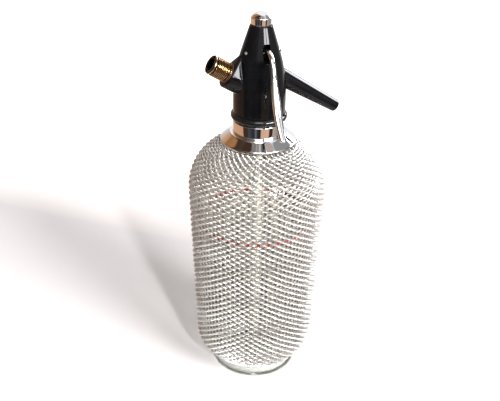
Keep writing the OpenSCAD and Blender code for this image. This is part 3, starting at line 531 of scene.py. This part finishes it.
head = dict(radius=21.1, side=12, cone=17.46, rim=8.85, threadBore=18.8, valveBore=11.6, glandBore=7.2,
            yokeBore=4.9, capBore=6.8, slotWide=6.2, slotLow=283.815, slotHigh=297.615, edge=0.5)
headLow, headTop = span("head_shell")
valveLow, valveTop = span("valve_body")
glandTop = span("gland_nut")[1]
capLow = span("top_cap")[0]
bowLow = headLow + head["side"]
cone = math.radians(head["cone"])
bow = ((headTop - bowLow) * math.tan(cone) - head["radius"] + head["rim"]) / (1 / math.cos(cone) - 1)
shell = spun("headShell", [(head["threadBore"], headLow), (head["radius"], headLow, 0.8)]
             + arc((head["radius"] - bow, bowLow), bow, 0, head["cone"], 24)
             + [(head["rim"], headTop, head["edge"]), (head["capBore"], headTop),
                (head["capBore"], capLow - 0.3),
                (head["yokeBore"], capLow - 0.3), (head["yokeBore"], glandTop + 0.1),
                (head["glandBore"], glandTop + 0.1), (head["glandBore"], valveTop + 0.1),
                (head["valveBore"], valveTop + 0.1), (head["valveBore"], valveLow + 3.5),
                (head["threadBore"], valveLow + 3.5)], 160, 30)

inlet = dict(height=256.315, lean=-58, boss=10.2, drop=1.5, root=14, end=31.5, web=(-14.2, 286.015),
             webRadius=2,
             nippleBore=6.5, nippleFrom=21.4)


def bossSlice(s, radius):
    # a disc across the nipple's axis, dropped a little below it
    selectNone()
    bpy.ops.mesh.primitive_circle_add(vertices=48, radius=radius * mm, fill_type="NGON", calc_uvs=False,
                                      location=(-inlet["drop"] * mm, 0, s * mm))
    bpy.ops.object.transform_apply(location=True, rotation=True, scale=True)
    return leant(bpy.context.object, inlet["lean"], inlet["height"])


def webBall():
    selectNone()
    bpy.ops.mesh.primitive_uv_sphere_add(segments=24, ring_count=12, radius=inlet["webRadius"] * mm,
                                         calc_uvs=False,
                                         location=(inlet["web"][0] * mm, 0, inlet["web"][1] * mm))
    bpy.ops.object.transform_apply(location=True, rotation=True, scale=True)
    return bpy.context.object


boss = joined("inletBoss", bossSlice(inlet["root"], inlet["boss"]),
              bossSlice(inlet["end"] - 1.1, inlet["boss"]),
              bossSlice(inlet["end"] - 0.5, inlet["boss"] - 0.2),
              bossSlice(inlet["end"] - 0.1, inlet["boss"] - 0.6),
              bossSlice(inlet["end"], inlet["boss"] - 1.1), webBall())
editAll(boss)
bpy.ops.mesh.convex_hull()
bpy.ops.object.mode_set(mode="OBJECT")
worked(shell, boss, "UNION")
inner = rod(head["threadBore"] - 0.01, headLow - 1, valveLow + 3.5, 128)     # the boss stays out of the bores
worked(shell, inner)
worked(shell, rod(head["valveBore"] - 0.01, headLow, valveTop + 0.1, 96))
worked(shell, leant(rod(inlet["nippleBore"], inlet["nippleFrom"], 40), inlet["lean"], inlet["height"]))

spout = dict(height=276.815, lean=122.25, bore=2.8, tail=4.4, tailFrom=13, foot=18.949, root=7.2, wall=24.949,
             tip=5.1, end=78.7, outlet=3.3, outletDepth=8)
worked(shell, leant(rod(spout["root"] + 0.1, spout["foot"] - 0.1, 60), spout["lean"], spout["height"]))
worked(shell,
       block((-head["slotWide"] / 2, -40, head["slotLow"]), (head["slotWide"] / 2, 0.01, head["slotHigh"])))
tidied(shell, 28)
finished(shell, "head", "black_head", blackEnamel, "head_shell")

spoutPiece = spun("spoutTube", [
    (spout["bore"], spout["tailFrom"]), (spout["tail"], spout["tailFrom"]), (spout["tail"], spout["foot"]),
    (spout["root"], spout["foot"]), (spout["root"], spout["wall"], 1.5),
    (spout["tip"] + 0.03, spout["end"] - 1.5), *arc((spout["tip"] - 1.3, spout["end"] - 1.3), 1.3, 10, 90, 8),
    (spout["outlet"], spout["end"], 0.3), (spout["outlet"], spout["end"] - spout["outletDepth"]),
    (spout["bore"], spout["end"] - spout["outletDepth"] - 0.3)], 72, 40)
leant(spoutPiece, spout["lean"], spout["height"])
finished(spoutPiece, "head", "black_head", blackEnamel, "spout_tube")
print("head cast")


# charging nipple

nipple = dict(crest=8, root=7.1, tail=6.4, seat=3, way=1.2, socket=5, seatFrom=17.8, tailFrom=21.5,
              foot=32.5, mouth=47.8, socketFloor=37.4, pitch=1.4, keyWide=2.6, keyDeep=2.2, chamfer=0.7)
nippleBody = spun("gasNipple", [
    (nipple["way"], nipple["seatFrom"] + 1.2), (0.01, nipple["seatFrom"] + 1.2), (0.01, nipple["seatFrom"]),
    (nipple["seat"], nipple["seatFrom"]), (nipple["seat"], nipple["tailFrom"]),
    (nipple["tail"], nipple["tailFrom"]),
    (nipple["tail"], nipple["foot"]), (nipple["crest"] - 0.1, nipple["foot"]),
    (nipple["crest"] - 0.1, nipple["foot"] + 0.35), (nipple["root"], nipple["foot"] + 0.8),
    (nipple["root"], nipple["mouth"] - 1.5), (nipple["crest"] - 0.15, nipple["mouth"] - 1.1),
    (nipple["crest"] - 0.15, nipple["mouth"] - nipple["chamfer"], 0.2),
    (nipple["crest"] - nipple["chamfer"], nipple["mouth"], 0.2),
    (nipple["socket"] + 0.5, nipple["mouth"], 0.2),
    (nipple["socket"], nipple["mouth"] - 0.6), (nipple["socket"], nipple["socketFloor"]),
    (nipple["way"], nipple["socketFloor"])], 96, 30)
worked(nippleBody, block((-20, -nipple["keyWide"] / 2, nipple["mouth"] - nipple["keyDeep"]),
                         (20, nipple["keyWide"] / 2, nipple["mouth"] + 5)))
worm = thread("nippleThread", nipple["root"], nipple["crest"], nipple["foot"] + 1.2, nipple["mouth"] - 2.3,
              nipple["pitch"], 0.12)
nipplePiece = joined("gasNipple", nippleBody, tidied(worm, 30))
tidied(nipplePiece, 30)
leant(nipplePiece, inlet["lean"], inlet["height"])
finished(nipplePiece, "head", "brass", nippleBrass, "gas_nipple")

washer = dict(bore=6.6, radius=8.7, low=31.6, high=32.4)
washerPiece = spun("nippleWasher", [
    (washer["bore"], washer["low"], 0.15), (washer["radius"], washer["low"], 0.25),
    (washer["radius"], washer["high"], 0.25), (washer["bore"], washer["high"], 0.15)], 72, 40)
leant(washerPiece, inlet["lean"], inlet["height"])
finished(washerPiece, "head", "brown_fibre", brownFibre, "nipple_washer")
print("nipple cut")


# lever

lever = dict(pivot=(-5.7, 289.615), hub=3, nose=2.2, rootWide=3.8, fullWide=6.8, tipWide=5.6, thick=3.6,
             flare=(29.5, 38),
             line=[(5.7, 0), (11, 2.7), (17, 3.9), (22.6, 2.5), (26.8, -1.4), (29.6, -7.4), (31.8, -14.4),
                   (34.5, -21.4), (37.5, -28), (40.6, -34.6), (44.3, -41.2), (48.9, -47.5), (53.7, -52.9)])


def through(points, steps):
    # smooth line through the points
    line = []
    for i in range(len(points) - 1):
        a, b, c, d = [Vector(points[min(max(j, 0), len(points) - 1)]) for j in (i - 1, i, i + 1, i + 2)]
        for u in [k / steps for k in range(steps)]:
            line.append(0.5 * (2 * b + (c - a) * u + (2 * a - 5 * b + 4 * c - d) * u * u
                               + (3 * b - a - 3 * c + d) * u ** 3))
    return line + [Vector(points[-1])]


def leverSection(wide, thick):
    # a crowned front, upright sides, and a nearly flat back
    half = [(0, 0.5), (0.12, 0.49), (0.24, 0.455), (0.33, 0.4), (0.4, 0.33), (0.45, 0.24), (0.48, 0.13),
            (0.495, 0),
            (0.5, -0.1), (0.495, -0.2), (0.475, -0.29), (0.44, -0.36), (0.38, -0.4), (0.28, -0.42),
            (0.12, -0.42)]
    right = [(x * wide, y * thick) for x, y in half]
    return right + [(-x, y) for x, y in reversed(right[1:])]


line = through(lever["line"], 7)
ahead = (line[-1] - line[-2]).normalized()
tipShares = (0.2, 0.4, 0.57, 0.71, 0.82, 0.9, 0.955, 0.985)
stations = [(p, 1) for p in line] + [(line[-1] + ahead * q * lever["tipWide"] / 2, math.sqrt(1 - q * q))
                                     for q in tipShares]


def leverPlace(p):
    return Vector((0, -p[0] * mm, (lever["pivot"][1] + p[1]) * mm))


def leverWide(i):
    out = min(stations[i][0][0], lever["line"][-1][0])
    root, full, tip = lever["rootWide"], lever["fullWide"], lever["tipWide"]
    low, high = lever["flare"]
    if out < high:
        wide = root + (full - root) * max(0, (out - low) / (high - low))
    else:
        wide = full + (tip - full) * (out - high) / (lever["line"][-1][0] - high)
    return wide * stations[i][1]


def heading(i):
    a, b = stations[max(i - 1, 0)][0], stations[min(i + 1, len(stations) - 1)][0]
    return math.atan2(b[1] - a[1], b[0] - a[0])


turn = heading(0)
start = leverPlace(stations[0][0])
section = [start + Vector((x * mm, math.sin(turn) * y * mm, math.cos(turn) * y * mm))
           for x, y in leverSection(lever["rootWide"], lever["thick"])]
blade = traced("leverBlade", section + section[:1])
bpy.ops.mesh.remove_doubles(threshold=1e-7)
bpy.ops.mesh.select_all(action="SELECT")
bpy.ops.mesh.edge_face_add()
for i in range(1, len(stations)):
    here = leverPlace(stations[i][0])
    bpy.ops.mesh.extrude_region_move(TRANSFORM_OT_translate={"value": here - leverPlace(stations[i - 1][0])})
    bend = heading(i) - heading(i - 1)
    bpy.ops.transform.rotate(value=bend, orient_axis="X", orient_type="GLOBAL", center_override=here)
    share = leverWide(i) / leverWide(i - 1)
    slim = (0.5 + 0.5 * stations[i][1]) / (0.5 + 0.5 * stations[i - 1][1])
    bpy.ops.transform.resize(value=(share, slim, slim), center_override=here)
tidied(blade, 35)
hub = rod(lever["hub"], -lever["rootWide"] / 2, lever["rootWide"] / 2, 48)
nose = rod(lever["nose"], -lever["rootWide"] / 2, lever["rootWide"] / 2, 48)
for piece, place in ((hub, lever["pivot"][0]), (nose, 0)):
    selectOnly(piece)
    piece.rotation_euler = (0, math.radians(90), 0)
    piece.location = (0, place * mm, lever["pivot"][1] * mm)
    bpy.ops.object.transform_apply(location=True, rotation=True, scale=True)
    step = piece.modifiers.new("edge", "BEVEL")
    step.width, step.segments, step.angle_limit = 0.3 * mm, 2, math.radians(50)
    bpy.ops.object.modifier_apply(modifier=step.name)
neck = block((-lever["rootWide"] / 2, lever["pivot"][0], lever["pivot"][1] - 1.5),
             (lever["rootWide"] / 2, 0, lever["pivot"][1] + 1.5))
leverPiece = joined("thumbLever", blade, tidied(hub, 35), tidied(nose, 35), tidied(neck, 35))
finished(leverPiece, "lever", "chrome", leverChrome, "lever")

pin = dict(radius=1.25, reach=14.83)
pinPiece = spun("leverPin", [(0, -pin["reach"]), (pin["radius"] - 0.35, -pin["reach"] + 0.05),
                             (pin["radius"], -pin["reach"] + 0.35), (pin["radius"], pin["reach"] - 0.35),
                             (pin["radius"] - 0.35, pin["reach"] - 0.05), (0, pin["reach"])], 32, 50)
pinPiece.rotation_euler = (0, math.radians(90), 0)
pinPiece.location = (0, lever["pivot"][0] * mm, lever["pivot"][1] * mm)
selectOnly(pinPiece)
bpy.ops.object.transform_apply(location=True, rotation=True, scale=True)
finished(pinPiece, "head", "steel", steelFinish, "lever_pin")
print("lever bent")


# cap and spring

cap = dict(radius=8.3, side=5.6, dome=3.8, shoulder=0.6, thread=6.7, pocket=4.9, threadLong=9.4)
capBottom = span("top_cap")[0]
capSeat = capBottom + cap["threadLong"]
sideTop = capSeat + cap["side"]
domeBall = ((cap["radius"] - cap["shoulder"]) ** 2 + cap["dome"] ** 2) / (2 * cap["dome"])
domeTurn = math.degrees(math.asin((cap["radius"] - cap["shoulder"]) / domeBall))
springTop = capSeat + 0.4
capPiece = spun("topCap", [(0, springTop + 0.1), (cap["pocket"], springTop + 0.1), (cap["pocket"], capBottom),
                           (cap["thread"], capBottom, 0.4), (cap["thread"], capSeat),
                           (cap["radius"], capSeat, 0.35),
                           (cap["radius"], sideTop - 0.4, 0.35)]
                + arc((0, sideTop + cap["dome"] - domeBall), domeBall, 90 - domeTurn, 90, 14), 96, 40)
finished(capPiece, "head", "chrome", chromePlate, "top_cap")

spring = dict(turns=6, radius=4.4, wire=0.9, perTurn=20)
springLow, springHigh = span("valve_spring")
low, high = springLow + spring["wire"] / 2, springHigh - spring["wire"] / 2
coil = []
total = spring["turns"] * spring["perTurn"]
for i in range(total + 1):
    # the end turns lie close together, as a wound spring's do
    share = i / total
    eased = share - math.sin(math.tau * share) / math.tau * 0.75
    a = math.tau * i / spring["perTurn"]
    coil.append(((spring["radius"] - spring["wire"] / 2) * math.cos(a),
                 (spring["radius"] - spring["wire"] / 2) * math.sin(a), low + (high - low) * eased))
springPiece = wound("valveSpring", coil, spring["wire"] / 2, 2)
finished(springPiece, "head", "steel", steelFinish, "valve_spring")
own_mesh(springPiece)
print("cap and spring set")


# pieces inside, whose solids keep their shape

kept = {"neck_split_ring": palePlastic, "bottle_gasket": blackRubber, "dip_tube": creamPlastic,
        "dip_tube_flange": palePlastic, "valve_body": innerBrass, "dip_tube_seal": blackRubber,
        "spout_seal": blackRubber, "piercing_pin": steelFinish, "inlet_gasket": blackRubber,
        "check_valve_sleeve": redRubber, "gland_nut": innerBrass, "stem_seal": blackRubber,
        "valve_plunger": blackMoulding, "valve_washer": blackRubber, "cap_gasket": blackRubber}
for node, material in kept.items():
    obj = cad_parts[node]
    obj.data.materials.clear()
    obj.data.materials.append(material)
print("inner pieces finished")


# floor, lamps and room

scene = bpy.context.scene
scene.view_settings.view_transform = "Standard"

# the floor's glow, and how far behind it grows into painted light over the shadow
floor = dict(size=8, tone=(0.8, 0.785, 0.78), lift=0.12, glow=(1, 0.84, 0.78), seenTo=0.33,
             shadowFadeFrom=0.2, shadowFadeTo=0.45)
selectNone()
bpy.ops.mesh.primitive_plane_add(size=floor["size"], location=(0, 0, -0.0002))
floorPiece = bpy.context.object
floorPiece.name = "studioFloor"
floorPaper = bpy.data.materials.new("floorPaper")
floorPaper.use_nodes = True
nodes, links = floorPaper.node_tree.nodes, floorPaper.node_tree.links
nodes.clear()
out = nodes.new("ShaderNodeOutputMaterial")
paper = nodes.new("ShaderNodeBsdfDiffuse")
paper.inputs["Color"].default_value = (*floor["tone"], 1)
glow = nodes.new("ShaderNodeEmission")
rays = nodes.new("ShaderNodeLightPath")
both = nodes.new("ShaderNodeAddShader")
seen = nodes.new("ShaderNodeMath")
seen.operation = "MAXIMUM"
seenToo = nodes.new("ShaderNodeMath")
seenToo.operation = "MAXIMUM"
strength = nodes.new("ShaderNodeMath")
strength.operation = "MULTIPLY"
glow.inputs["Color"].default_value = (*floor["glow"], 1)
# far behind, the flat paper's glow for the camera grows as bright as a lit floor: painted light that fades
# the object's shadow there
behind = nodes.new("ShaderNodeVectorMath")
behind.operation = "DOT_PRODUCT"
behind.inputs[1].default_value = (0.8, 1, 0)
shadowFadeGlow = nodes.new("ShaderNodeMapRange")
for socket, value in (("From Min", floor["shadowFadeFrom"]), ("From Max", floor["shadowFadeTo"]),
                      ("To Min", floor["lift"]), ("To Max", 1.1)):
    shadowFadeGlow.inputs[socket].default_value = value
links.new(behind.outputs["Value"], shadowFadeGlow.inputs["Value"])
links.new(shadowFadeGlow.outputs[0], strength.inputs[1])
links.new(rays.outputs["Is Camera Ray"], seen.inputs[0])
links.new(rays.outputs["Is Glossy Ray"], seen.inputs[1])
links.new(seen.outputs[0], seenToo.inputs[0])
links.new(rays.outputs["Is Transmission Ray"], seenToo.inputs[1])
links.new(seenToo.outputs[0], strength.inputs[0])
links.new(strength.outputs[0], glow.inputs["Strength"])
links.new(paper.outputs[0], both.inputs[0])
links.new(glow.outputs[0], both.inputs[1])
# a bright metal piece sees the paper only near the foot, and the dark room beyond it
where = nodes.new("ShaderNodeTexCoord")
reach = nodes.new("ShaderNodeVectorMath")
reach.operation = "LENGTH"
edge = nodes.new("ShaderNodeMapRange")
edge.inputs["From Min"].default_value = floor["seenTo"]
edge.inputs["From Max"].default_value = floor["seenTo"] + 0.02
clearTo = nodes.new("ShaderNodeMath")
clearTo.operation = "MULTIPLY"
seenThrough = nodes.new("ShaderNodeBsdfTransparent")
mix = nodes.new("ShaderNodeMixShader")
links.new(where.outputs["Object"], reach.inputs[0])
links.new(where.outputs["Object"], behind.inputs[0])
links.new(reach.outputs["Value"], edge.inputs["Value"])
links.new(edge.outputs[0], clearTo.inputs[0])
links.new(rays.outputs["Is Glossy Ray"], clearTo.inputs[1])
links.new(clearTo.outputs[0], mix.inputs["Fac"])
links.new(both.outputs[0], mix.inputs[1])
links.new(seenThrough.outputs[0], mix.inputs[2])
links.new(mix.outputs[0], out.inputs["Surface"])
floorPiece.data.materials.append(floorPaper)

cameraTurn = -20                # where the camera stands round the object
room = dict(ambient=(0.36, 0.355, 0.36), bounds=(-12, 11, 28, 60), blend=3)
# what bright metal and enamel see round them: degrees from the camera, towards the spout, and a tone
white, brown, umber, peach = (1.0, 1.0, 1.0), (0.32, 0.15, 0.06), (0.055, 0.03, 0.018), (0.72, 0.42, 0.27)
dark = (0.02, 0.02, 0.02)
lowRoom = [(-180, white), (-150, white), (-146, peach), (-72, (0.62, 0.33, 0.19)), (-68, umber),
           (-47, umber), (-44, (0.07, 0.07, 0.08)), (-20, (0.02, 0.02, 0.025)), (-12, (0.13, 0.15, 0.19)),
           (-4, (0.03, 0.03, 0.035)), (8, (0.015, 0.015, 0.017)), (12, peach), (44, (0.75, 0.48, 0.34)),
           (49, umber), (62, (0.04, 0.022, 0.016)), (66, (0.5, 0.4, 0.35)), (94, (0.3, 0.25, 0.22)),
           (120, (0.3, 0.28, 0.27)), (135, white), (180, white)]
midRoom = [(-180, (0.9, 0.9, 0.9)), (-140, (0.5, 0.45, 0.4)), (-112, (0.14, 0.12, 0.11)),
           (-45, (0.12, 0.11, 0.1)), (-35, dark), (46, dark), (48, (1.6, 1.6, 1.7)), (51, (1.6, 1.6, 1.7)),
           (53, (0.3, 0.29, 0.3)), (66, (0.4, 0.38, 0.42)), (84, (0.4, 0.38, 0.42)),
           (92, (0.25, 0.24, 0.24)), (125, (0.25, 0.24, 0.24)), (138, white), (180, white)]
windowRoom = [(-180, white), (-152, (0.85, 0.7, 0.6)), (-146, (0.7, 0.46, 0.3)), (-128, (0.5, 0.26, 0.13)),
              (-118, brown), (-60, (0.12, 0.11, 0.1)), (-22, (0.25, 0.24, 0.22)), (-14, (0.95, 0.94, 0.93)),
              (24, (0.95, 0.94, 0.93)), (26, (36, 36, 37)), (40.5, (36, 36, 37)), (41.5, (0.8, 0.8, 0.8)),
              (44.5, (0.8, 0.8, 0.8)), (45.5, (38, 38, 39)), (60, (38, 38, 39)), (63, (0.8, 0.77, 0.8)),
              (84, (0.7, 0.67, 0.7)), (90, dark), (112, dark), (117, (18, 18, 19)), (146, (18, 18, 19)),
              (152, white), (180, white)]
skyRoom = [(-180, white), (-148, white), (-136, brown), (-107, (0.4, 0.2, 0.08)), (-100, umber),
           (-60, (0.1, 0.07, 0.05)), (-40, (0.28, 0.25, 0.23)), (-18, (0.5, 0.48, 0.46)), (-12, (5, 5, 5)),
           (20, (5, 5, 5)), (26, (0.8, 0.78, 0.77)), (52, (0.5, 0.48, 0.47)), (58, white), (76, white),
           (84, (0.3, 0.3, 0.3)), (124, (0.3, 0.3, 0.3)), (132, white), (180, white)]
topRoom = [(-180, white), (-134, white), (-128, brown), (-107, (0.4, 0.2, 0.08)), (-103, umber),
           (-44, umber), (-40, (0.28, 0.25, 0.23)), (-20, (0.2, 0.18, 0.16)), (-12, (0.45, 0.42, 0.4)),
           (0, (0.22, 0.2, 0.19)), (10, (0.6, 0.58, 0.56)), (20, (0.5, 0.5, 0.5)), (25, (0.09, 0.09, 0.1)),
           (32, (0.09, 0.09, 0.1)), (36, (0.5, 0.42, 0.38)), (80, (0.5, 0.42, 0.38)), (92, white),
           (180, white)]

world = bpy.data.worlds.new("room")
scene.world = world
world.use_nodes = True
nodes, links = world.node_tree.nodes, world.node_tree.links
nodes.clear()


def figured(operation, a, b=None):
    node = nodes.new("ShaderNodeMath")
    node.operation = operation
    for socket, value in zip(node.inputs, (a, b)):
        if isinstance(value, (int, float)):
            socket.default_value = value
        elif value is not None:
            links.new(value, socket)
    return node.outputs[0]


def blended(fac, a, b):
    node = nodes.new("ShaderNodeMix")
    node.data_type = "RGBA"
    for socket, value in ((node.inputs[0], fac), (node.inputs[6], a), (node.inputs[7], b)):
        if isinstance(value, tuple):
            socket.default_value = (*value, 1)
        else:
            links.new(value, socket)
    return node.outputs[2]


def wall(turn, stops):
    band = nodes.new("ShaderNodeValToRGB")
    while len(band.color_ramp.elements) < len(stops):
        band.color_ramp.elements.new(0.5)
    for element, (degrees, tone) in zip(band.color_ramp.elements, stops):
        element.position = (degrees + 180) / 360
        element.color = (*tone, 1)
    links.new(turn, band.inputs["Fac"])
    return band.outputs["Color"]


where = nodes.new("ShaderNodeTexCoord")
lay = nodes.new("ShaderNodeMapping")
lay.inputs["Rotation"].default_value = (0, 0, math.radians(-cameraTurn))
split = nodes.new("ShaderNodeSeparateXYZ")
links.new(where.outputs["Generated"], lay.inputs["Vector"])
links.new(lay.outputs["Vector"], split.inputs[0])
away = figured("MULTIPLY", split.outputs["Y"], -1)
turn = figured("ADD", figured("MULTIPLY", figured("ARCTAN2", split.outputs["X"], away), 1 / math.tau), 0.5)
rise = figured("MULTIPLY", figured("ARCSINE", split.outputs["Z"]), 180 / math.pi)


def above(level):
    node = nodes.new("ShaderNodeMapRange")
    node.interpolation_type = "SMOOTHSTEP"
    node.inputs["From Min"].default_value = level - room["blend"] / 2
    node.inputs["From Max"].default_value = level + room["blend"] / 2
    links.new(rise, node.inputs["Value"])
    return node.outputs[0]


walls = wall(turn, lowRoom)
for level, stops in zip(room["bounds"], (midRoom, windowRoom, skyRoom, topRoom)):
    walls = blended(above(level), walls, wall(turn, stops))
rays = nodes.new("ShaderNodeLightPath")
colour = blended(rays.outputs["Is Glossy Ray"], room["ambient"], walls)
clear = figured("MAXIMUM", rays.outputs["Is Camera Ray"], rays.outputs["Is Transmission Ray"])
colour = blended(clear, colour, white)
back = nodes.new("ShaderNodeBackground")
links.new(colour, back.inputs["Color"])
out = nodes.new("ShaderNodeOutputWorld")
links.new(back.outputs[0], out.inputs["Surface"])


def lamp(name, turn, rise, spread, power, tone=(1, 1, 1)):
    # light from far off: where it stands round the object, how high, and how wide it looks
    selectNone()
    a, e = math.radians(turn), math.radians(rise)
    side = Vector((math.sin(a) * math.cos(e), -math.cos(a) * math.cos(e), math.sin(e)))
    bpy.ops.object.light_add(type="SUN", location=side * 3)
    obj = bpy.context.object
    obj.name = name
    obj.rotation_mode = "QUATERNION"
    obj.rotation_quaternion = side.to_track_quat("Z", "Y")
    obj.data.angle, obj.data.energy, obj.data.color = math.radians(spread), power, tone
    obj.visible_glossy = False      # the room's own windows are what the metal shows
    return obj


lamp("windowLamp", 25, 26, 20, 3.8)
lamp("frontLamp", 1, 27, 4, 2.1)

view = dict(place=(-242.5, -666.3, 538), turn=-19.544, tilt=61.737, roll=1.254, lens=69.13)
selectNone()
bpy.ops.object.camera_add(location=[c * mm for c in view["place"]])
camera = bpy.context.object
camera.rotation_euler = (Matrix.Rotation(math.radians(view["turn"]), 3, "Z")
                         @ Matrix.Rotation(math.radians(view["tilt"]), 3, "X")
                         @ Matrix.Rotation(math.radians(view["roll"]), 3, "Z")).to_euler()
camera.data.sensor_width, camera.data.lens = 36, view["lens"]
camera.data.clip_start = 0.01
scene.camera = camera
print("stage lit")
